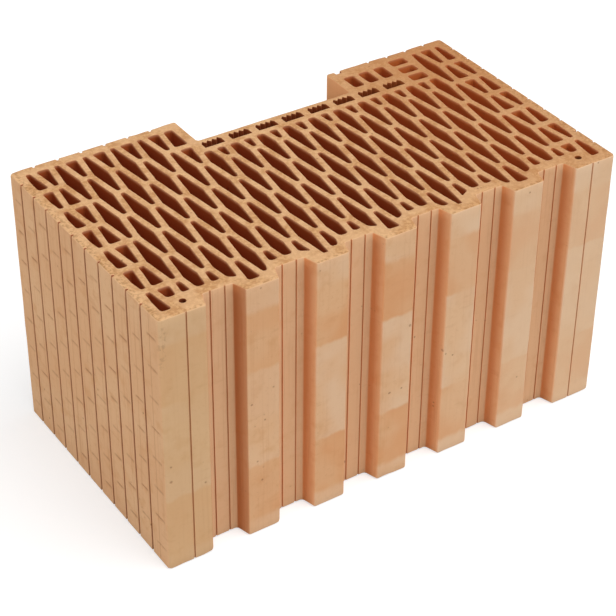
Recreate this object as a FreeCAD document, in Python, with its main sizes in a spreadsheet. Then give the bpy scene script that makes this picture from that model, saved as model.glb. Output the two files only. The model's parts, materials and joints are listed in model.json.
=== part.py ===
import FreeCAD, Part
import os
import Sketcher

# Hollow clay block for the end of a 44 cm wall, extruded in one piece and fired.
# X runs across the wall, Y along it from the toothed face (-Y) to the back face,
# Z is the way the clay left the die. The block stands on its bed face at Z = 0.
# The die section is drawn flat, piece by piece, and drawn out once to the height.

doc = FreeCAD.newDocument("clay_block")
dims = doc.addObject("Spreadsheet::Sheet", "dims")

SIZES = (
    # whole block
    ("wall_thickness", 440),
    ("block_length", 247),
    ("block_height", 249),
    ("corner_radius", 3),
    # toothed face
    ("tooth_pitch", 64.4),
    ("tongue_face", 30),
    ("groove_depth", 13.5),
    ("flank_run", 4),
    ("tooth_radius", 2.5),
    ("groove_line_offset", 6.5),
    ("tongue_line_inset", 24),
    ("fine_line_width", 1.2),
    ("fine_line_depth", 0.9),
    # insulation pocket in the back face
    ("pocket_start", 157),
    ("pocket_width", 156),
    ("pocket_depth", 38),
    # key lines for plaster and mortar
    ("line_width", 2.6),
    ("line_depth", 2.2),
    ("end_line_first", 27.5),
    ("end_line_pitch", 22),
    ("back_line_first", 22),
    ("back_line_pitch", 22),
    ("arm_line_first", 20),
    ("arm_line_pitch", 20.5),
    ("arm_notch_gap", 12),
    ("arm_notch_width", 6),
    ("arm_notch_depth", 4),
    # shells round the cores
    ("end_shell", 8.5),
    ("back_shell", 10),
    ("front_shell", 10),
    ("slant_end", 18.8),
    ("deep_end", 14.3),
    # zigzag web lattice
    ("column_pitch", 13),
    ("row_pitch", 33.3),
    ("first_row", 40),
    ("core_belly", 11.8),
    ("core_tip", 4.2),
    ("tip_gap", 5),
    ("end_web", 6),
    ("pocket_wall", 8.9),
    ("pocket_cell", 8),
    ("pocket_cell_web", 2.2),
    # flat slots along the pocket floor
    ("slot_wall", 4),
    ("slot_depth", 10),
    ("slot_web", 5),
    ("slot_width", 19.5),
    ("slot_pitch", 26.7),
    ("slot_tooth", 3),
    ("slot_steps", 8),
    # cells in the arm beside the pocket
    ("arm_cell_start", 9),
    ("arm_cell_width", 10.5),
    ("arm_cell_length", 20),
    ("arm_cell_pitch", 16),
    ("stack_width", 17),
    ("stack_length", 11),
    ("stack_pitch", 15.5),
    ("stack_count", 3),
    ("stack_inset", 50),
    # round hole in each end tongue
    ("pin_hole", 5.5),
    ("pin_hole_inset", 29),
    ("pin_hole_depth", 13.8),
)
for row, (name, size) in enumerate(SIZES, start=1):
    dims.set("A%d" % row, name)
    dims.set("B%d" % row, str(size))
    dims.setAlias("B%d" % row, name)
doc.recompute()

RIGHT = "dims.wall_thickness / 2"
LEFT = "-dims.wall_thickness / 2"
FRONT = "-dims.block_length / 2"
BACK = "dims.block_length / 2"


def number(formula):
    return float(dims.evalExpression(formula.replace("dims.", "")))


def pin(sketch, line, end, x, y):
    """Hold one point of the sketch at two formulas."""
    for kind, formula in (("DistanceX", x), ("DistanceY", y)):
        rule = Sketcher.Constraint(kind, -1, 1, line, end, number(formula))
        index = sketch.addConstraint(rule)
        sketch.setExpression("Constraints[%d]" % index, formula)


def draw(sketch, corners):
    """Close a loop of straight sides; every corner is a pair of formulas."""
    spots = [FreeCAD.Vector(number(x), number(y), 0) for x, y in corners]
    first = sketch.GeometryCount
    sides = len(corners)
    for index in range(sides):
        sketch.addGeometry(Part.LineSegment(spots[index], spots[(index + 1) % sides]))
    for index, (x, y) in enumerate(corners):
        before = first + (index - 1) % sides
        sketch.addConstraint(Sketcher.Constraint("Coincident", before, 2, first + index, 1))
        pin(sketch, first + index, 1, x, y)


def face(name, *loops):
    """A flat piece of the die section, bounded by the given loops."""
    sketch = doc.addObject("Sketcher::SketchObject", "%s_sketch" % name)
    for loop in loops:
        draw(sketch, loop)
    piece = doc.addObject("Part::Face", name)
    piece.Sources = [sketch]
    piece.FaceMakerClass = "Part::FaceMakerBullseye"
    doc.recompute()
    return piece


def box(x0, x1, y0, y1):
    return [(x0, y0), (x1, y0), (x1, y1), (x0, y1)]


def rows_of(name, piece, across, columns, along="0", rows="1"):
    """Copies of a flat piece in columns along X and rows along Y."""
    copies = []
    for column in range(int(number(columns))):
        for row in range(int(number(rows))):
            step = FreeCAD.Vector(column * number(across), row * number(along), 0)
            copies.append(piece.Shape.translated(step))
    pattern = doc.addObject("Part::Feature", name)
    pattern.Shape = Part.Compound(copies)
    return pattern


def combine(kind, name, base, tool):
    result = doc.addObject("Part::%s" % kind, name)
    result.Base = base
    result.Tool = tool
    doc.recompute()
    return result


def cut_all(base, *tools):
    for tool in tools:
        base = combine("Cut", "%s_cut" % tool.Name, base, tool)
    return base


def rounded(name, piece, *steps):
    """Ease corners by moving the outline in and out again, or out and in."""
    for index, step in enumerate(steps):
        moved = doc.addObject("Part::Offset2D", "%s_%d" % (name, index))
        moved.Source = piece
        moved.setExpression("Value", step)
        piece = moved
    doc.recompute()
    return piece


# Outline of the die: blank with round corners, teeth on one face, pocket in the other
MOUTH = "((dims.tooth_pitch - dims.tongue_face) / 2)"
FLOOR = "(%s - dims.flank_run)" % MOUTH
GROOVE_BASE = "%s + dims.groove_depth" % FRONT
GROOVES = "floor((dims.wall_thickness - dims.tongue_face) / dims.tooth_pitch)"
grooves = int(number(GROOVES))


def groove_middle(index):
    return "dims.tooth_pitch * %g" % (index - (grooves - 1) / 2)


blank = face("blank", box(LEFT, RIGHT, FRONT, BACK))
blank = rounded("corners", blank, "-dims.corner_radius", "dims.corner_radius")

groove = face("groove", [
    ("%s - %s" % (groove_middle(0), MOUTH), FRONT),
    ("%s + %s" % (groove_middle(0), MOUTH), FRONT),
    ("%s + %s" % (groove_middle(0), FLOOR), GROOVE_BASE),
    ("%s - %s" % (groove_middle(0), FLOOR), GROOVE_BASE),
])
groove_set = rows_of("grooves", groove, "dims.tooth_pitch", GROOVES)

POCKET_LEFT = "(dims.pocket_start - dims.wall_thickness / 2)"
POCKET_RIGHT = "(%s + dims.pocket_width)" % POCKET_LEFT
POCKET_FLOOR = "(%s - dims.pocket_depth)" % BACK
pocket = face("insulation_pocket", box(POCKET_LEFT, POCKET_RIGHT, POCKET_FLOOR, BACK))

toothed = cut_all(blank, groove_set, pocket)
outline = rounded(
    "tooth_edges", toothed,
    "-dims.tooth_radius", "2 * dims.tooth_radius", "-dims.tooth_radius",
)


# Key lines, scored upright into the outside faces
def key_line(x, y, way, kind="line"):
    """Line cut into a face that looks along Y; way is the sign into the clay."""
    wide = "dims.%s_width" % kind
    base = "%s %s dims.%s_depth" % (y, way, kind)
    return [
        ("%s - %s / 2" % (x, wide), y),
        ("%s + %s / 2" % (x, wide), y),
        ("%s + %s / 4" % (x, wide), base),
        ("%s - %s / 4" % (x, wide), base),
    ]


def end_line(x, way):
    """Line cut into an end face, the first one behind the teeth."""
    y = "%s + dims.end_line_first" % FRONT
    return [
        (x, "%s - dims.line_width / 2" % y),
        ("%s %s dims.line_depth" % (x, way), "%s - dims.line_width / 4" % y),
        ("%s %s dims.line_depth" % (x, way), "%s + dims.line_width / 4" % y),
        (x, "%s + dims.line_width / 2" % y),
    ]


END_FACE = "(dims.block_length - dims.end_line_first - dims.corner_radius)"
END_LINES = "floor(%s / dims.end_line_pitch) + 1" % END_FACE
end_lines = face("end_line", end_line(LEFT, "+"), end_line(RIGHT, "-"))
end_set = rows_of("end_lines", end_lines, "0", "1", "dims.end_line_pitch", END_LINES)

BACK_LINES = "floor((dims.pocket_start - dims.back_line_first) / dims.back_line_pitch)"
back_line = face("back_line", key_line("%s + dims.back_line_first" % LEFT, BACK, "-"))
back_set = rows_of("back_lines", back_line, "dims.back_line_pitch", BACK_LINES)

arm_notch_middle = "(%s + dims.arm_notch_gap)" % POCKET_RIGHT
ARM_FACE = "(%s - %s - dims.arm_notch_width / 2)" % (RIGHT, arm_notch_middle)
ARM_LINES = "floor((%s - dims.arm_line_first) / dims.arm_line_pitch)" % ARM_FACE
arm_line = face("arm_line", key_line("%s - dims.arm_line_first" % RIGHT, BACK, "-"))
arm_set = rows_of("arm_lines", arm_line, "-dims.arm_line_pitch", ARM_LINES)

arm_notch = face("arm_notch", box(
    "%s - dims.arm_notch_width / 2" % arm_notch_middle,
    "%s + dims.arm_notch_width / 2" % arm_notch_middle,
    "%s - dims.arm_notch_depth" % BACK,
    BACK,
))

groove_line = face(
    "groove_line",
    key_line("%s - dims.groove_line_offset" % groove_middle(0), GROOVE_BASE, "+", "fine_line"),
    key_line("%s + dims.groove_line_offset" % groove_middle(0), GROOVE_BASE, "+", "fine_line"),
)
groove_line_set = rows_of("groove_lines", groove_line, "dims.tooth_pitch", GROOVES)

tongue_lines = face(
    "tongue_lines",
    key_line("%s + dims.tongue_line_inset" % LEFT, FRONT, "+", "fine_line"),
    key_line("%s - dims.tongue_line_inset" % RIGHT, FRONT, "+", "fine_line"),
)
scored = cut_all(outline, end_set, back_set, arm_set, arm_notch, groove_line_set, tongue_lines)

# Slots behind the pocket floor, their back wall torn into teeth by the comb of the die
SLOT_BACK = "(%s - dims.slot_wall)" % POCKET_FLOOR
SLOT_FRONT = "(%s - dims.slot_depth)" % SLOT_BACK
STACK_RIGHT = "(%s - dims.stack_inset)" % RIGHT
STACK_LEFT = "(%s - dims.stack_width)" % STACK_RIGHT
SLOTS = "floor((%s - %s) / dims.slot_pitch)" % (STACK_LEFT, POCKET_LEFT)
slot_steps = int(number("dims.slot_steps"))
slot_loop = [
    (POCKET_LEFT, SLOT_FRONT),
    ("%s + dims.slot_width" % POCKET_LEFT, SLOT_FRONT),
]
for step in range(slot_steps, -1, -1):
    dent = "0" if step % 2 else "dims.slot_tooth"
    across = "%s + dims.slot_width * %g" % (POCKET_LEFT, step / slot_steps)
    slot_loop.append((across, "%s - %s" % (SLOT_BACK, dent)))
slot = face("slot", slot_loop)
slot_set = rows_of("slots", slot, "dims.slot_pitch", SLOTS)

# Cells of the narrow arm: some side by side, then a stack of them
arm_cell_left = "(%s + dims.arm_cell_start)" % POCKET_RIGHT
ARM_CELLS = "floor((%s - %s) / dims.arm_cell_pitch)" % (STACK_LEFT, arm_cell_left)
arm_cell_back = "%s - dims.back_shell - dims.arm_notch_depth" % BACK
arm_cell = face("arm_cell", box(
    arm_cell_left,
    "%s + dims.arm_cell_width" % arm_cell_left,
    "%s - dims.arm_cell_length" % arm_cell_back,
    arm_cell_back,
))
arm_cell_set = rows_of("arm_cells", arm_cell, "dims.arm_cell_pitch", ARM_CELLS)

stack_cell = face("stack_cell", box(
    STACK_LEFT,
    STACK_RIGHT,
    SLOT_FRONT,
    "%s + dims.stack_length" % SLOT_FRONT,
))
stack_set = rows_of("stack_cells", stack_cell, "0", "1", "dims.stack_pitch", "dims.stack_count")

# Field of the cores: the block less its outer shells. The middle core of each tongue reaches
# into it; the cores beside it stop short, deeper on the side that looks to the block's middle.
TONGUE_CORE = "%s + dims.front_shell" % FRONT
GROOVE_CORE = "%s + dims.front_shell" % GROOVE_BASE
SLANT_END = "%s + dims.slant_end" % FRONT
DEEP_END = "%s + dims.deep_end" % FRONT
FIELD_BACK = "%s - dims.back_shell" % BACK
POCKET_CORE = "%s - dims.slot_web" % SLOT_FRONT
ZIGZAG = "(dims.core_belly - dims.core_tip) / 4"


def column(index):
    """Middle of a lattice column, counted from the one on the block's centre line."""
    return "dims.column_pitch * %g" % index


def row_line(index):
    """Line of core tips, counted from the one nearest the teeth."""
    return "(%s + dims.first_row + dims.row_pitch * %g)" % (FRONT, index)


def web_line(place, row):
    """Zigzag web at a half column, where it crosses a row line."""
    lean = "-" if round(place + 0.5 + row) % 2 else "+"
    return "%s %s %s" % (column(place), lean, ZIGZAG)


# Columns and rows that the walls leave room for
FIELD_ROWS = "((dims.block_length - dims.back_shell - dims.first_row) / dims.row_pitch)"
COLUMN_PAIRS = "floor((%s - dims.end_shell) / (2 * dims.column_pitch))" % RIGHT
POCKET_WALL = "(%s - dims.pocket_wall)" % POCKET_LEFT
pocket_row = number("ceil((%s - %s + dims.end_web) / dims.row_pitch)" % (POCKET_CORE, row_line(0)))
pocket_column = number("floor((%s - dims.pocket_cell) / dims.column_pitch - 0.5) + 0.5" % POCKET_WALL)
stack_column = number("ceil((%s + dims.slot_web) / dims.column_pitch - 0.5) + 0.5" % STACK_RIGHT)
edge_column = 2 * number(COLUMN_PAIRS) - 0.5
LAST_ROW = row_line(pocket_row)
WEB_FOOT = "%s - dims.end_web / 2" % LAST_ROW


def core_end(middle, side):
    """Front end of the core beside a tongue's middle column, from the groove inwards."""
    beside = middle + side
    if middle * side < 0:
        slope = [(beside + 0.35 * side, GROOVE_CORE), (beside + 0.08 * side, DEEP_END)]
        floor = DEEP_END
    else:
        slope = [(beside + 0.4 * side, GROOVE_CORE), (beside - 0.27 * side, SLANT_END)]
        floor = SLANT_END
    inner = middle + 0.52 * side
    corners = slope + [(inner, floor), (inner, TONGUE_CORE)]
    return [(column(place), height) for place, height in corners]


field_loop = [
    ("%s + dims.end_shell" % LEFT, TONGUE_CORE),
    (column(-edge_column), TONGUE_CORE),
    (column(-edge_column), GROOVE_CORE),
]
for index in range(grooves - 1):
    tongue = "dims.tooth_pitch * %g" % (index - (grooves - 2) / 2)
    middle = number("round(%s / dims.column_pitch)" % tongue)
    field_loop += core_end(middle, -1)
    field_loop += reversed(core_end(middle, 1))
field_loop += [
    (column(edge_column), GROOVE_CORE),
    (column(edge_column), TONGUE_CORE),
]
field_loop += [
    ("%s - dims.end_shell" % RIGHT, TONGUE_CORE),
    ("%s - dims.end_shell" % RIGHT, FIELD_BACK),
    (web_line(stack_column, pocket_row + 1), FIELD_BACK),
    (web_line(stack_column, pocket_row), LAST_ROW),
    (column(stack_column), POCKET_CORE),
    (POCKET_WALL, POCKET_CORE),
    (POCKET_WALL, WEB_FOOT),
    (web_line(pocket_column, pocket_row), WEB_FOOT),
    (web_line(pocket_column, pocket_row + 1), FIELD_BACK),
    ("%s + dims.end_shell" % LEFT, FIELD_BACK),
]
field = face("core_field", field_loop)
end_web = face("end_web", *[
    box(
        end,
        column(inner),
        "%s - dims.end_web / 2" % row_line(0),
        "%s + dims.end_web / 2" % row_line(0),
    )
    for end, inner in ((LEFT, 1 - edge_column), (RIGHT, edge_column - 1))
])
end_webs = "floor(%s) + 1" % FIELD_ROWS
end_web_set = rows_of("end_webs", end_web, "0", "1", "dims.row_pitch", end_webs)
field = cut_all(field, end_web_set)

# One core is a long blunt diamond; two sets of them, half a step apart, leave the zigzag webs
TIP = "dims.core_tip / 2"
BELLY = "dims.core_belly / 2"
END = "dims.core_tip / 4"
REACH = "(dims.row_pitch - dims.tip_gap / 2)"
SHOULDER = "(dims.row_pitch - dims.tip_gap / 2 - dims.core_tip / 3)"


def core(x, y):
    """A diamond core with blunt, eased tips about the plan point x, y."""
    upper = ((END, REACH), (TIP, SHOULDER), (BELLY, "0"))
    lower = ((TIP, "-%s" % SHOULDER), (END, "-%s" % REACH))
    rise = upper + lower
    left = [("%s - %s" % (x, wide), "%s + %s" % (y, high)) for wide, high in rise]
    right = [("%s + %s" % (x, wide), "%s + %s" % (y, high)) for wide, high in reversed(rise)]
    return left + right


bored = []
for name, shift, row, extra in (("even", 0, -1, 1), ("odd", 1, 0, 0)):
    first = "dims.column_pitch * (%d - 2 * %s)" % (shift, COLUMN_PAIRS)
    one = face("%s_core" % name, core(first, row_line(row)))
    every = rows_of(
        "%s_cores" % name, one,
        "2 * dims.column_pitch", "2 * %s + %d" % (COLUMN_PAIRS, extra),
        "2 * dims.row_pitch", "floor((%s + 1 - %d) / 2) + 1" % (FIELD_ROWS, row),
    )
    bored.append(combine("Common", "%s_bores" % name, every, field))

# The wide cell where the lattice meets the pocket wall
CELL_FOOT = "%s + dims.end_web / 2" % LAST_ROW
wall_cell = face("pocket_wall_cell", [
    ("%s + dims.pocket_cell_web" % web_line(pocket_column, pocket_row), CELL_FOOT),
    (POCKET_WALL, CELL_FOOT),
    (POCKET_WALL, FIELD_BACK),
    ("%s + dims.pocket_cell_web" % web_line(pocket_column, pocket_row + 1), FIELD_BACK),
])

# Round hole in each end tongue
pin_sketch = doc.addObject("Sketcher::SketchObject", "pin_holes_sketch")
for hole_x in ("%s + dims.pin_hole_inset" % LEFT, "%s - dims.pin_hole_inset" % RIGHT):
    hole_y = "%s + dims.pin_hole_depth" % FRONT
    middle = FreeCAD.Vector(number(hole_x), number(hole_y), 0)
    upward = FreeCAD.Vector(0, 0, 1)
    ring = Part.Circle(middle, upward, number("dims.pin_hole") / 2)
    circle = pin_sketch.addGeometry(ring)
    pin(pin_sketch, circle, 3, hole_x, hole_y)
    index = pin_sketch.addConstraint(Sketcher.Constraint("Diameter", circle, number("dims.pin_hole")))
    pin_sketch.setExpression("Constraints[%d]" % index, "dims.pin_hole")
pin_holes = doc.addObject("Part::Face", "pin_holes")
pin_holes.Sources = [pin_sketch]
pin_holes.FaceMakerClass = "Part::FaceMakerBullseye"
doc.recompute()

# Die section: the scored outline less every core, as one flat face
def bare(shape):
    """The shape alone, without the history that a long chain of cuts carries."""
    copy = Part.Shape()
    copy.importBrepFromString(shape.exportBrepToString())
    return copy


holes = (slot_set, arm_cell_set, stack_set, *bored, wall_cell, pin_holes)
cores = [bare(hole) for piece in holes for hole in piece.Shape.Faces]
section = doc.addObject("Part::Feature", "die_section")
section.Shape = bare(scored.Shape).cut(cores).Faces[0]

block = doc.addObject("Part::Extrusion", "clay_block")
block.Base = section
block.DirMode = "Custom"
block.Dir = FreeCAD.Vector(0, 0, 1)
block.Solid = True
block.setExpression("LengthFwd", "dims.block_height")
block.Label = "clay_block"
doc.recompute()

for thing in doc.Objects:
    if "Invalid" in thing.State or "Error" in thing.State:
        raise RuntimeError("%s did not build" % thing.Name)
if not block.Shape.isValid() or len(block.Shape.Solids) != 1:
    raise RuntimeError("the block is not one sound solid")

os.makedirs("parts", exist_ok=True)
block.Shape.Solids[0].exportStep("parts/clay_block.step")
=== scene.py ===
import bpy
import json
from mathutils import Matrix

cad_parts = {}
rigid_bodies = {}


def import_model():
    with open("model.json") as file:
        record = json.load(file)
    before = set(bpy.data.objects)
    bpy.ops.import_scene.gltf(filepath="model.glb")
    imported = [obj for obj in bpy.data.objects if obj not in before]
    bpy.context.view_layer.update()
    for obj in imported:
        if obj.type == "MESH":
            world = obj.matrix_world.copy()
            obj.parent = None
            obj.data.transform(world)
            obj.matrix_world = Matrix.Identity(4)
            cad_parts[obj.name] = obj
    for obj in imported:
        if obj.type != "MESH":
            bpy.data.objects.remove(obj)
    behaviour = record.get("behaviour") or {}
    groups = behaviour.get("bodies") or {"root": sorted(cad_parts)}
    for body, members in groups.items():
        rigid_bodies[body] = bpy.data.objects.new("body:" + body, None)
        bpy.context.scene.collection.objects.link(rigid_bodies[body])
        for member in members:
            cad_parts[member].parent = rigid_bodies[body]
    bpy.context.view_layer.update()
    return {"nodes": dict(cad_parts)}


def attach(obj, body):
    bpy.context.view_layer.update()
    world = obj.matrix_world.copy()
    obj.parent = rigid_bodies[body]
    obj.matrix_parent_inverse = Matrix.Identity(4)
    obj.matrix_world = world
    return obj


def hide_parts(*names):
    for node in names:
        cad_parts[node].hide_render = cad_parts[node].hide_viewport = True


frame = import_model()

import json
import math

import bmesh
import bpy
from mathutils import Matrix, Vector, noise
from mathutils.geometry import delaunay_2d_cdt


# Clay: light red brick clay with sawdust pores, extruded through a die and fired.
# Its skin keeps the drag marks of the die, its bed faces are ground flat after firing,
# and the kiln left redder bands where the blocks of a stack stood against each other.
class Shade:
    """A socket of a material that takes part in ordinary arithmetic."""

    def __init__(self, tree, socket):
        self.tree = tree
        self.socket = socket

    def node(self, kind, feeds, output=0, **options):
        """Add a node of any kind, feed its inputs and hand back one output."""
        made = self.tree.nodes.new(kind)
        for name, value in options.items():
            setattr(made, name, value)
        for name, value in feeds.items():
            if isinstance(value, Shade):
                self.tree.links.new(value.socket, made.inputs[name])
            else:
                made.inputs[name].default_value = value
        return Shade(self.tree, made.outputs[output])

    def math(self, operation, other=0.0):
        return self.node("ShaderNodeMath", {0: self, 1: other}, operation=operation)

    def __add__(self, other):
        return self.math("ADD", other)

    __radd__ = __add__

    def __sub__(self, other):
        return self.math("SUBTRACT", other)

    def __rsub__(self, other):
        return self.node("ShaderNodeMath", {0: other, 1: self}, operation="SUBTRACT")

    def __mul__(self, other):
        return self.math("MULTIPLY", other)

    __rmul__ = __mul__

    def __truediv__(self, other):
        return self.math("DIVIDE", other)

    def __rtruediv__(self, other):
        return self.node("ShaderNodeMath", {0: other, 1: self}, operation="DIVIDE")

    def __abs__(self):
        return self.math("ABSOLUTE")

    def ramp(self, low, high):
        """0 at low, 1 at high and smooth between; low may be the larger."""
        feeds = {"Value": self, "From Min": low, "From Max": high}
        return self.node("ShaderNodeMapRange", feeds, interpolation_type="SMOOTHSTEP")

    def under(self, colour, amount):
        """This colour with another laid over it by an amount from 0 to 1."""
        return self.node("ShaderNodeMix", {0: amount, 6: self, 7: colour}, 2, data_type="RGBA")

    def stretched(self, along_x, along_y, along_z):
        feeds = {0: self, 1: (along_x, along_y, along_z)}
        return self.node("ShaderNodeVectorMath", feeds, operation="MULTIPLY")

    def noise(self, scale, detail=3.0, rough=0.55):
        feeds = {"Vector": self, "Scale": scale, "Detail": detail, "Roughness": rough}
        return self.node("ShaderNodeTexNoise", feeds)

    def parts(self):
        split = self.node("ShaderNodeSeparateXYZ", {0: self}).socket.node
        return [Shade(self.tree, out) for out in split.outputs]


def tone(red, green, blue):
    """A colour as a screen shows it, 0 to 255, turned into light."""
    light = []
    for value in (red / 255, green / 255, blue / 255):
        light.append(value / 12.92 if value <= 0.04045 else ((value + 0.055) / 1.055) ** 2.4)
    return (*light, 1.0)


# where the faces of the block lie, in metres
half_height = 0.1245
end_face = 0.2200
back_face = 0.1235
tooth_face = -0.1235
groove_floor = -0.1100
pocket_left = -0.0630
pocket_right = 0.0930
tongue_line = 0.1960

clay = bpy.data.materials.new("fired_clay")
clay.use_nodes = True
tree = clay.node_tree
shader = tree.nodes["Principled BSDF"]
place = tree.nodes.new("ShaderNodeTexCoord")
spot = Shade(tree, place.outputs["Object"])
x, y, z = spot.parts()
nx, ny, nz = Shade(tree, place.outputs["Normal"]).parts()
core = spot.node("ShaderNodeAttribute", {}, 2, attribute_name="core")
rim = spot.node("ShaderNodeAttribute", {}, 2, attribute_name="rim")
dash = spot.node("ShaderNodeAttribute", {}, 2, attribute_name="dash")
from_middle = abs(x)
sideways = abs(nx)
bed = abs(nz).ramp(0.6, 0.8)
upright = 1.0 - bed
skin = upright * (1.0 - core)
tongue = y.ramp(tooth_face + 0.0027, tooth_face + 0.0006) * skin
brow = y.ramp(tooth_face + 0.0045, tooth_face + 0.0010)

# skin: cloudy clay with drag streaks, scuffs and grit
cloud = spot.noise(9.0, 4.0)
mottle = spot.noise(70.0, 3.0)
grain = spot.noise(900.0, 2.0, 0.7)
grit = spot.noise(330.0, 3.0, 0.65)
streak = spot.stretched(1.0, 1.0, 0.02).noise(420.0, 3.0, 0.6)
scuff = spot.stretched(1.0, 1.0, 4.0).noise(38.0, 3.0, 0.6)
feeds = {0: cloud.ramp(0.42, 0.68) * 0.6, 6: tone(229, 179, 134), 7: tone(236, 193, 149)}
body = spot.node("ShaderNodeMix", feeds, 2, data_type="RGBA")
body = body.under(tone(216, 158, 108), mottle.ramp(0.50, 0.75) * 0.5)
body = body.under(tone(200, 140, 94), streak.ramp(0.52, 0.72) * (upright * 0.4 - tongue * 0.2))
body = body.under(tone(204, 148, 104), scuff.ramp(0.60, 0.75) * upright * 0.3)
body = body.under(tone(208, 154, 110), grit.ramp(0.55, 0.75) * 0.35)

# kiln bands on the tongues, ragged at their edges and uneven in strength;
# the clay between the bands is pale, and the end tongues differ a little
ragged = z + (spot.stretched(1.0, 1.0, 0.2).noise(90.0, 2.0) - 0.5) * 0.008
lower = ragged.ramp(0.0120, 0.0190) - ragged.ramp(0.0705, 0.0745)
upper = ragged.ramp(0.1660, 0.1700) - ragged.ramp(0.2210, 0.2280)
uneven = spot.noise(22.0, 2.0, 0.45).ramp(0.36, 0.62) * 0.5 + 0.1
uneven = uneven * (0.4 + x.ramp(-0.13, -0.09) * 0.6)
body = body.under(tone(225, 159, 108), (lower + upper) * tongue * uneven * 1.2)
body = body.under(tone(238, 206, 174), (1.0 - lower - upper) * tongue * uneven * 0.9)
body = body.under(tone(244, 211, 175), x.ramp(-0.05, 0.20) * tongue * 0.5)
body = body.under(tone(210, 177, 130), x.ramp(-0.165, -0.185) * tongue * 0.4)

# flanks of the teeth: painted shade, dark and red towards the root, darkest near the left end
rooted = y.ramp(tooth_face + 0.0010, groove_floor - 0.0015)
flank_shade = sideways.ramp(0.5, 0.85) * y.ramp(groove_floor + 0.0015, groove_floor + 0.0005)
flank_shade = flank_shade * skin * from_middle.ramp(end_face - 0.0015, end_face - 0.0030)
body = body.under(tone(222, 126, 62), flank_shade * (0.25 + rooted * 0.4))
body = body.under(tone(150, 78, 34), flank_shade * x.ramp(-0.115, -0.135) * 0.4)

# floors of the grooves: a little paler
trough = y.ramp(groove_floor - 0.0012, groove_floor - 0.0004) * ny.ramp(-0.5, -0.8)
trough = trough * y.ramp(groove_floor + 0.0010, groove_floor + 0.0004)
body = body.under(tone(242, 198, 156), trough * skin * 0.4)

# sides of the pocket: painted light, a warmer and paler tone on walls that stand in shade
pocket_light = sideways.ramp(0.6, 0.9) * y.ramp(0.050, 0.065) * from_middle.ramp(0.11, 0.10)
body = body.under(tone(242, 168, 110), pocket_light * skin * 0.6)

# scored lines of the ends and the back: dust and shade gather in them
score = from_middle.ramp(end_face - 0.0004, end_face - 0.0009)
score = score * from_middle.ramp(end_face - 0.0032, end_face - 0.0028)
score = score * abs(y).ramp(back_face - 0.0035, back_face - 0.0040)
arms = x.ramp(pocket_left - 0.007, pocket_left - 0.012)
arms = arms + x.ramp(pocket_right + 0.005, pocket_right + 0.008)
arms = arms * from_middle.ramp(end_face - 0.006, end_face - 0.007)
arms = arms * y.ramp(back_face - 0.0050, back_face - 0.0040)
score = score + arms * y.ramp(back_face - 0.0006, back_face - 0.0010)
body = body.under(tone(160, 76, 38), score * (1.0 - core) * (1.0 - rim) * 0.85)

# fine lines of the end tongues and the groove floors, darkened with painted shade
thin = abs(from_middle - tongue_line).ramp(0.0009, 0.0006)
thin = thin * y.ramp(tooth_face + 0.0001, tooth_face + 0.0006)
thin = thin * y.ramp(tooth_face + 0.0035, tooth_face + 0.0025)
furrow = y.ramp(groove_floor + 0.0005, groove_floor + 0.0008)
furrow = furrow * y.ramp(groove_floor + 0.0020, groove_floor + 0.0014)
body = body.under(tone(178, 108, 66), (thin + furrow) * skin * 0.35)

# dents rolled into the ends, darkest at their bottoms: partly roller smudge, partly painted
# shade
dent = dash * (0.5 + mottle.ramp(0.35, 0.65) * 0.5)
body = body.under(tone(166, 114, 78), dent * 0.6)

# bed faces: ground grain, flushed at one end, painted highlight on rims, crumbled at outer
# edges
body = body.under(tone(191, 137, 87), bed * 0.85)
body = body.under(tone(230, 185, 132), bed * grit.ramp(0.45, 0.62) * 0.55)
flush = x.ramp(-0.02, 0.20) * (0.55 + y.ramp(-0.06, 0.10) * 0.45)
body = body.under(tone(188, 126, 78), flush * (bed * 0.62 + 0.05))
# painted highlight: paler patches along the rims
body = body.under(tone(236, 192, 146), rim * mottle.ramp(0.35, 0.6) * (0.5 - flush * 0.45))
crumb = from_middle.ramp(end_face - 0.0080, end_face - 0.0025).math("MAXIMUM", brow)
body = body.under(tone(150, 108, 62), crumb * bed * grit.ramp(0.50, 0.40) * 0.45)

# cores: painted shade, dark and red the deeper they go, darkest in the slots and the round
# holes
below = half_height - abs(z - half_height)
core_shade = (below * core * core).ramp(-0.0025, 0.0040) * upright
narrow = ((core - 1.0) * 1.5).math("MINIMUM", 0.7)
body = body.under(tone(168, 80, 38), core * core_shade)
# the painted shade is lighter and more orange towards the right end
body = body.under(tone(214, 120, 58), core * core_shade * x.ramp(0.0, 0.2) * 0.65)
body = body.under(tone(84, 40, 20), core_shade * narrow)

# pores, the few pits and stones of the toothed face, and smut at the near corner
pore = spot.node("ShaderNodeTexVoronoi", {"Vector": spot, "Scale": 120.0}, feature="F1")
pore = pore.ramp(0.16, 0.06) * spot.noise(35.0, 1.0).ramp(0.61, 0.67)
for pit, pit_size in (
    ((0.0478, -0.1225, 0.1128), 0.0028), ((0.0125, -0.1233, 0.1540), 0.0016),
    ((-0.0060, -0.1233, 0.0912), 0.0017), ((0.0065, -0.1233, 0.0916), 0.0012),
    ((-0.0412, -0.1098, 0.0230), 0.0020), ((-0.1400, -0.1233, 0.1365), 0.0012),
    ((-0.2145, -0.1233, 0.1065), 0.0015), ((-0.2150, -0.1233, 0.0915), 0.0016),
):
    away = spot.node("ShaderNodeVectorMath", {0: spot, 1: pit}, 1, operation="DISTANCE")
    pore = pore.math("MAXIMUM", (away / pit_size + (grit - 0.5) * 1.6).ramp(1.0, 0.4))
smut = spot.noise(160.0, 3.0, 0.7).ramp(0.50, 0.62) * z.ramp(0.195, 0.215) * brow
smut = smut * from_middle.ramp(end_face - 0.0090, end_face - 0.0050) * x.ramp(0.0, -0.1)
body = body.under(tone(158, 112, 82), smut * upright * 0.3)
body = body.under(tone(136, 82, 48), pore * 0.5)
tree.links.new(body.socket, shader.inputs["Base Color"])

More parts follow.
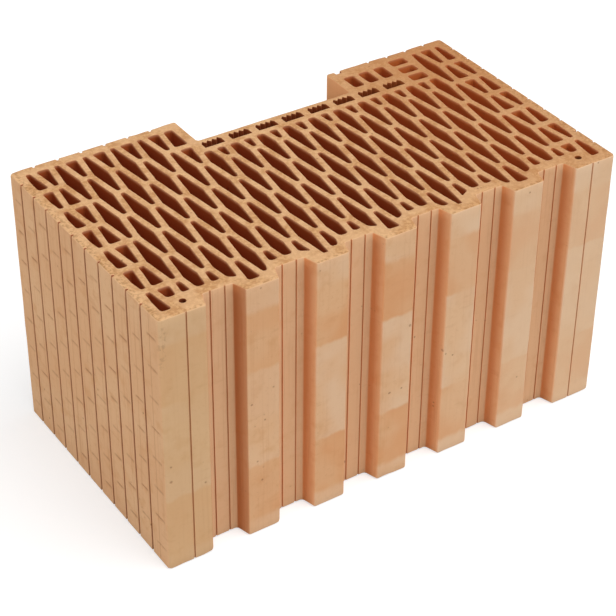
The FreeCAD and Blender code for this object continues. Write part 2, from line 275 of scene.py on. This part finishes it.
relief = streak * upright * 0.35 + grain * 0.2 + mottle * 0.25 - pore * 0.6
bump = relief.node("ShaderNodeBump", {"Strength": 0.6, "Distance": 0.0008, "Height": relief})
tree.links.new(bump.socket, shader.inputs["Normal"])
rubbed = 0.97 - rim * 0.12 - streak.ramp(0.5, 0.7) * upright * 0.08
tree.links.new(rubbed.socket, shader.inputs["Roughness"])
shader.inputs["Specular IOR Level"].default_value = 0.15


# Block: one extruded and fired piece; every wall runs straight through from bed to bed.
# Its rims are worn round, the webs waver a little as wet clay does behind the die,
# and the toothed face is not quite even along its height.
cad = frame["nodes"]["clay_block"]
plan = bmesh.new()
plan.from_mesh(cad.data)
bmesh.ops.remove_doubles(plan, verts=plan.verts, dist=1e-6)
height = max(vertex.co.z for vertex in plan.verts)
follow = {}
for face in plan.faces:
    if face.normal.z < 0.5:
        continue
    for corner in face.loops:
        if any(abs(near.normal.z) < 0.5 for near in corner.edge.link_faces):
            here = corner.vert.co.xy.copy().freeze()
            follow[here] = corner.link_loop_next.vert.co.xy.copy().freeze()
plan.free()

# the rims of the top bed as closed lines, clay on their left, the outside first
loops = []
while follow:
    here, there = follow.popitem()
    loop = [here]
    while there != loop[0]:
        loop.append(there)
        there = follow.pop(there)
    loops.append(loop)
loops.sort(key=lambda loop: -max(point.x for point in loop) + min(point.x for point in loop))

end_plane = max(point.x for point in loops[0])
outer_step = 0.004
core_step = 0.008
corner_ease = 0.0028
hole_around = 0.025
wall_rows = 40
rim_turns = [math.radians(angle) for angle in (0, 30, 60, 90)]
rim_rows = len(rim_turns) - 1
plaster_rim = 0.0013
foot_share = 1.8
outer_mark, core_mark, slot_mark, hole_mark = 0.0, 1.0, 1.3, 2.0


def on_end(point):
    return abs(abs(point.x) - end_plane) < 1e-6


def sides_of(loop):
    """Each point of a closed line with the next one."""
    return zip(loop, loop[1:] + loop[:1])


def corners_of(loop):
    """Each point of a closed line between the ones before and after it."""
    return zip(loop[-1:] + loop[:-1], loop, loop[1:] + loop[:1])


def eased(loop, reach):
    """A closed line with the corners of its hollow cut back to short curves."""
    soft = []
    for before, here, after in corners_of(loop):
        back = before - here
        ahead = after - here
        tooth = ahead.cross(back) > 0
        if tooth or back.normalized().dot(ahead.normalized()) < -0.93:
            soft.append(here)
            continue
        start = here + back.normalized() * min(reach, back.length * 0.45)
        stop = here + ahead.normalized() * min(reach, ahead.length * 0.45)
        for part in (0, 0.33, 0.67, 1):
            soft.append(start.lerp(here, part).lerp(here.lerp(stop, part), part))
    return soft


def encloses(loop, point):
    """Whether a closed line goes round a point."""
    crossed = False
    for here, there in sides_of(loop):
        if (here.y > point.y) != (there.y > point.y):
            share = (point.y - here.y) / (there.y - here.y)
            if point.x < here.x + share * (there.x - here.x):
                crossed = not crossed
    return crossed


def waver(point, scale, level):
    """Smooth unevenness from -1 to 1 over the plan, with waves of 1 / scale metres."""
    return noise.noise(Vector((point.x * scale, point.y * scale, level)))


def worn_round(worn, turn):
    """Rise from the bed and inset from the wall of a worn rim's points at a turn."""
    return [(w * (1 - math.cos(turn)), w * (1 - math.sin(turn))) for w in worn]


points = []
facets = []
core_marks = []
rim_marks = []
panels = []
bed_points = []
bed_sides = []
bed_loop = []
bed_rims = []
foot_index = []
top_index = []
for number, loop in enumerate(loops):
    outer = number == 0
    around = sum((there - here).length for here, there in sides_of(loop))
    teeth = 0
    for before, here, after in corners_of(loop):
        teeth += (after - here).cross(before - here) > 1e-8
    toothed = not outer and teeth > 1
    if outer:
        mark = outer_mark
    elif around < hole_around:
        mark = hole_mark
    else:
        mark = slot_mark if toothed else core_mark
    if not outer and not toothed:
        loop = eased(loop, corner_ease)

    # points along the line; the flat panels of the ends stay open for their tiles
    spots = []
    plaster = []
    for here, there in sides_of(loop):
        panel = outer and on_end(here) and on_end(there)
        if panel:
            panels.append((here.x, min(here.y, there.y), max(here.y, there.y)))
        step = outer_step if outer else core_step
        count = 1 if panel else max(1, math.ceil((there - here).length / step))
        for part in range(count):
            spots.append(here.lerp(there, part / count))
            plaster.append(panel)
    total = len(spots)
    inward = []
    for before, here, after in corners_of(spots):
        into = (here - before).normalized()
        out = (after - here).normalized()
        middle = Vector((-into.y - out.y, into.x + out.x))
        middle.normalize()
        inward.append(middle / max(0.5, middle.dot(Vector((-out.y, out.x)))))

    # wear of the rims, with chips on the outside and more of it at the foot
    wear = []
    foot_wear = []
    for point in spots:
        worn = 0.0004 if toothed else 0.0008 + 0.0003 * waver(point, 90, 3.7)
        foot = worn
        if outer and on_end(point):
            worn = foot = plaster_rim
        elif outer:
            worn += 0.0004
            worn += 0.0026 * max(0.0, waver(point, 45, 9.1) - 0.2)
            foot = worn * foot_share
        wear.append(worn)
        foot_wear.append(foot)

    # rows of the wall from the foot to the top, each a rise and an inset per point
    levels = [worn_round(foot_wear, turn) for turn in rim_turns]
    for row in range(1, wall_rows if outer else 0):
        share = row / wall_rows
        levels.append([(f + (height - f - w) * share, 0.0) for f, w in zip(foot_wear, wear)])
    for turn in reversed(rim_turns):
        levels.append([(height - rise, inset) for rise, inset in worn_round(wear, turn)])

    first = len(points)
    for row, level in enumerate(levels):
        edge = min(row, len(levels) - 1 - row) < rim_rows
        for point, push, (rise, inset) in zip(spots, inward, level):
            draw = inset
            if not outer:
                draw += 0.0003 * waver(point, 110, 0.5)
            elif not on_end(point):
                draw += 0.0002 + 0.0002 * waver(point, 60, rise * 45)
            points.append((*(point + push * draw), rise))
            core_marks.append(mark)
            rim_marks.append(1.0 if edge else 0.0)
    last = first + (len(levels) - 1) * total
    for row in range(len(levels) - 1):
        open_row = rim_rows <= row < len(levels) - 1 - rim_rows
        for index in range(total):
            if plaster[index] and open_row:
                continue
            a = first + row * total + index
            b = first + row * total + (index + 1) % total
            facets.append((a, b, b + total, a + total))

    for index in range(total):
        bed_sides.append((len(bed_points) + index, len(bed_points) + (index + 1) % total))
    foot_index += range(first, first + total)
    top_index += range(last, last + total)
    bed_rims.append([Vector(points[last + index][:2]) for index in range(total)])
    bed_points += bed_rims[-1]
    bed_loop += [number] * total

# bed faces: triangles between the rims, without those that span a hollow
spread = delaunay_2d_cdt(bed_points, bed_sides, [], 1, 1e-7)
origin = [sources[0] for sources in spread[3]]
for triangle in spread[2]:
    corners = [origin[corner] for corner in triangle]
    touched = {bed_loop[corner] for corner in corners}
    middle = sum((bed_points[corner] for corner in corners), Vector((0, 0))) / 3
    if len(touched) == 1 and encloses(bed_rims[min(touched)], middle) != (0 in touched):
        continue
    facets.append(tuple(top_index[corner] for corner in corners))
    facets.append(tuple(foot_index[corner] for corner in reversed(corners)))


def marked_mesh(name, spots, faces, **marks):
    """A mesh with a number at each point for every named mark."""
    made = bpy.data.meshes.new(name)
    made.from_pydata(spots, [], faces)
    for mark_name, values in marks.items():
        made.attributes.new(mark_name, "FLOAT", "POINT").data.foreach_set("value", values)
    return made


no_dash = [0.0] * len(points)
walls = marked_mesh("fired_block", points, facets, core=core_marks, rim=rim_marks, dash=no_dash)


# Plaster dashes: the two end faces are rolled while wet with short level dents,
# every second panel half a step higher, so that plaster keys into the clay.
# Each dent is a tile of the panel; the tiles stand on points up each panel.
dash_pitch = 0.030
dash_first = 0.01775
dent_depth = 0.0007
tile_rows_mm = (-15, -8, -2.6, -1.3, -0.6, 0, 0.6, 1.3, 2.6, 8, 15)
row_depth = (0, 0, 0, 0.2, 0.7, 1, 0.7, 0.2, 0, 0, 0)
tile_columns = (0, 0.04, 0.10, 0.25, 0.40, 0.55, 0.66, 0.74, 1)
column_depth = (0, 0, 0.7, 1, 0.9, 1, 0.8, 0, 0)
tile_points = []
tile_marks = []
for rise, row in zip(tile_rows_mm, row_depth):
    for across, column in zip(tile_columns, column_depth):
        tile_points.append((across - 0.5, -dent_depth * row * column, rise / 1000))
        tile_marks.append(row * column)
tile_facets = []
stride = len(tile_columns)
for row in range(len(tile_rows_mm) - 1):
    for column in range(stride - 1):
        a = row * stride + column
        tile_facets.append((a + 1, a, a + stride, a + stride + 1))
tile_mesh = marked_mesh("dash_tile", tile_points, tile_facets, dash=tile_marks)
tile = bpy.data.objects.new("dash_tile", tile_mesh)

# stands for the tiles, and the plain strips that are left above and below them
stand_points = []
stand_widths = []
stand_turns = []
strips = []
for number, (end, start, stop) in enumerate(sorted(panels)):
    odd = number % 2
    foot = dash_first + odd * dash_pitch / 2 - dash_pitch / 2
    head = foot
    while head + dash_pitch < height - plaster_rim:
        stand_points.append((end, (start + stop) / 2, head + dash_pitch / 2))
        stand_widths.append(stop - start)
        stand_turns.append(math.copysign(math.pi / 2, -end))
        head += dash_pitch
    strips.append((end, start, stop, plaster_rim, foot))
    strips.append((end, start, stop, head, height - plaster_rim))
stand_mesh = marked_mesh("dash_stands", stand_points, [], width=stand_widths, turn=stand_turns)
stand = bpy.data.objects.new("dash_stands", stand_mesh)
in_scene = bpy.context.scene.collection.objects
in_scene.link(stand)

rolled = bpy.data.node_groups.new("rolled_dashes", "GeometryNodeTree")
sockets = {}
for name, kind, value in (
    ("Points", "NodeSocketGeometry", None),
    ("Tile", "NodeSocketObject", None),
    ("Shallowest", "NodeSocketFloat", 0.45),
    ("Deepest", "NodeSocketFloat", 1.1),
    ("Seed", "NodeSocketInt", 7),
    ("Clay", "NodeSocketMaterial", None),
):
    sockets[name] = rolled.interface.new_socket(name, in_out="INPUT", socket_type=kind)
    if value is not None:
        sockets[name].default_value = value
rolled.interface.new_socket("Mesh", in_out="OUTPUT", socket_type="NodeSocketGeometry")
given = rolled.nodes.new("NodeGroupInput")
result = rolled.nodes.new("NodeGroupOutput")


def grown(kind, feeds, **options):
    """A node of the tree with its inputs linked to sockets or set to values."""
    made = rolled.nodes.new(kind)
    for name, value in options.items():
        setattr(made, name, value)
    for name, value in feeds.items():
        if isinstance(value, bpy.types.NodeSocket):
            rolled.links.new(value, made.inputs[name])
        else:
            made.inputs[name].default_value = value
    return made


shape = grown("GeometryNodeObjectInfo", {"Object": given.outputs["Tile"]})
width = grown("GeometryNodeInputNamedAttribute", {"Name": "width"}, data_type="FLOAT")
facing = grown("GeometryNodeInputNamedAttribute", {"Name": "turn"}, data_type="FLOAT")
deepness = grown("FunctionNodeRandomValue", {
    2: given.outputs["Shallowest"], 3: given.outputs["Deepest"], 8: given.outputs["Seed"],
})
tile_size = grown("ShaderNodeCombineXYZ", {
    0: width.outputs[0], 1: deepness.outputs[1], 2: 1.0,
})
tile_turn = grown("ShaderNodeCombineXYZ", {2: facing.outputs[0]})
tiles = grown("GeometryNodeInstanceOnPoints", {
    "Points": given.outputs["Points"],
    "Instance": shape.outputs["Geometry"],
    "Rotation": tile_turn.outputs[0],
    "Scale": tile_size.outputs[0],
})
real = grown("GeometryNodeRealizeInstances", {"Geometry": tiles.outputs[0]})
dressed = grown("GeometryNodeSetMaterial", {
    "Geometry": real.outputs[0], "Material": given.outputs["Clay"],
})
rolled.links.new(dressed.outputs[0], result.inputs[0])

roller = stand.modifiers.new("rolled_dashes", "NODES")
roller.node_group = rolled
roller[sockets["Tile"].identifier] = tile
roller[sockets["Clay"].identifier] = clay
evaluated = stand.evaluated_get(bpy.context.evaluated_depsgraph_get())
dashes = bpy.data.meshes.new_from_object(evaluated)
stand.modifiers.remove(roller)
bpy.data.objects.remove(stand)
bpy.data.objects.remove(tile)

# walls, rolled tiles and plain strips make one piece
whole = bmesh.new()
whole.from_mesh(walls)
whole.from_mesh(dashes)
for end, start, stop, foot, head in strips:
    corners = [(end, start, foot), (end, stop, foot), (end, stop, head), (end, start, head)]
    if end < 0:
        corners.reverse()
    whole.faces.new([whole.verts.new(corner) for corner in corners])
bmesh.ops.remove_doubles(whole, verts=whole.verts, dist=2e-6)
for face in whole.faces:
    face.smooth = True
    face.material_index = 0
piece_mesh = bpy.data.meshes.new("fired_block")
whole.to_mesh(piece_mesh)
whole.free()
piece_mesh.set_sharp_from_angle(angle=math.radians(38))
piece_mesh.materials.clear()
piece_mesh.materials.append(clay)
piece = bpy.data.objects.new("fired_block", piece_mesh)
in_scene.link(piece)
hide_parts("clay_block")
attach(piece, "root")


# Studio floor: a sheet of pale matt card that runs out of sight on all sides.
# It lies flat under the block, looks white and takes the block's soft shadow.
floor_reach = 8.0
card_grey = 0.55
card_glow = 0.58


def seen_rays(tree):
    """1 for rays that the camera sees, also by way of gloss or glass, and 0 for others."""
    sight = tree.nodes.new("ShaderNodeLightPath")
    seen = Shade(tree, sight.outputs["Is Camera Ray"])
    for ray in ("Is Glossy Ray", "Is Transmission Ray"):
        seen = seen.math("MAXIMUM", Shade(tree, sight.outputs[ray]))
    return seen


floor_mesh = bpy.data.meshes.new("studio_floor")
floor_corners = [(-1, -1), (1, -1), (1, 1), (-1, 1)]
floor_mesh.from_pydata(
    [(across * floor_reach, along * floor_reach, 0.0) for across, along in floor_corners],
    [], [(0, 1, 2, 3)],
)
floor = bpy.data.objects.new("studio_floor", floor_mesh)
in_scene.link(floor)
card = bpy.data.materials.new("studio_card")
card.use_nodes = True
card_shader = card.node_tree.nodes["Principled BSDF"]
card_shader.inputs["Base Color"].default_value = (card_grey, card_grey, card_grey, 1.0)
card_shader.inputs["Roughness"].default_value = 1.0
card_shader.inputs["Specular IOR Level"].default_value = 0.0
card_shader.inputs["Emission Strength"].default_value = 1.0
glow = seen_rays(card.node_tree) * card_glow
glow = glow.node("ShaderNodeCombineColor", {0: glow, 1: glow, 2: glow})
card.node_tree.links.new(glow.socket, card_shader.inputs["Emission Color"])
floor_mesh.materials.append(card)


# Light: an even white surround, a broad lamp above the right of the toothed face
# and a weak one from the left, which grazes the toothed face and fills the end.
surround = 0.35
world = bpy.data.worlds.new("studio")
bpy.context.scene.world = world
world.use_nodes = True
sky = world.node_tree.nodes["Background"]
sky.inputs["Color"].default_value = (1.0, 1.0, 1.0, 1.0)
level = seen_rays(world.node_tree) * (1.0 - surround) + surround
world.node_tree.links.new(level.socket, sky.inputs["Strength"])


def lamp(name, strength, spread, toward):
    made = bpy.data.lights.new(name, "SUN")
    made.energy = strength
    made.angle = math.radians(spread)
    held = bpy.data.objects.new(name, made)
    held.rotation_euler = Vector(toward).to_track_quat("Z", "Y").to_euler()
    in_scene.link(held)


lamp("key_lamp", 2.2, 60, (0.32, -0.45, 1.0))
lamp("end_lamp", 0.85, 20, (-1.0, -0.15, 0.15))


# Camera: stands to the left of the toothed face and looks down on the near corner,
# with a long lens from well back, so that the upright edges lean only a little.
eye = Vector((-0.7444, -1.1110, 1.0595))
ahead = Vector((0.4501, 0.6771, -0.5822)).normalized()
right = Vector((0.8356, -0.5494, 0.0071))
right = (right - ahead * right.dot(ahead)).normalized()
up = right.cross(ahead)
frame_pixels = 616
focal_pixels = 1879.5
lens = bpy.data.cameras.new("camera")
lens.sensor_fit = "HORIZONTAL"
lens.sensor_width = 36.0
lens.lens = focal_pixels / frame_pixels * lens.sensor_width
lens.clip_end = 50.0
camera = bpy.data.objects.new("camera", lens)
aim = Matrix((right, up, -ahead)).transposed().to_4x4()
camera.matrix_world = Matrix.Translation(eye) @ aim
in_scene.link(camera)
bpy.context.scene.camera = camera
bpy.context.scene.view_settings.view_transform = "Standard"
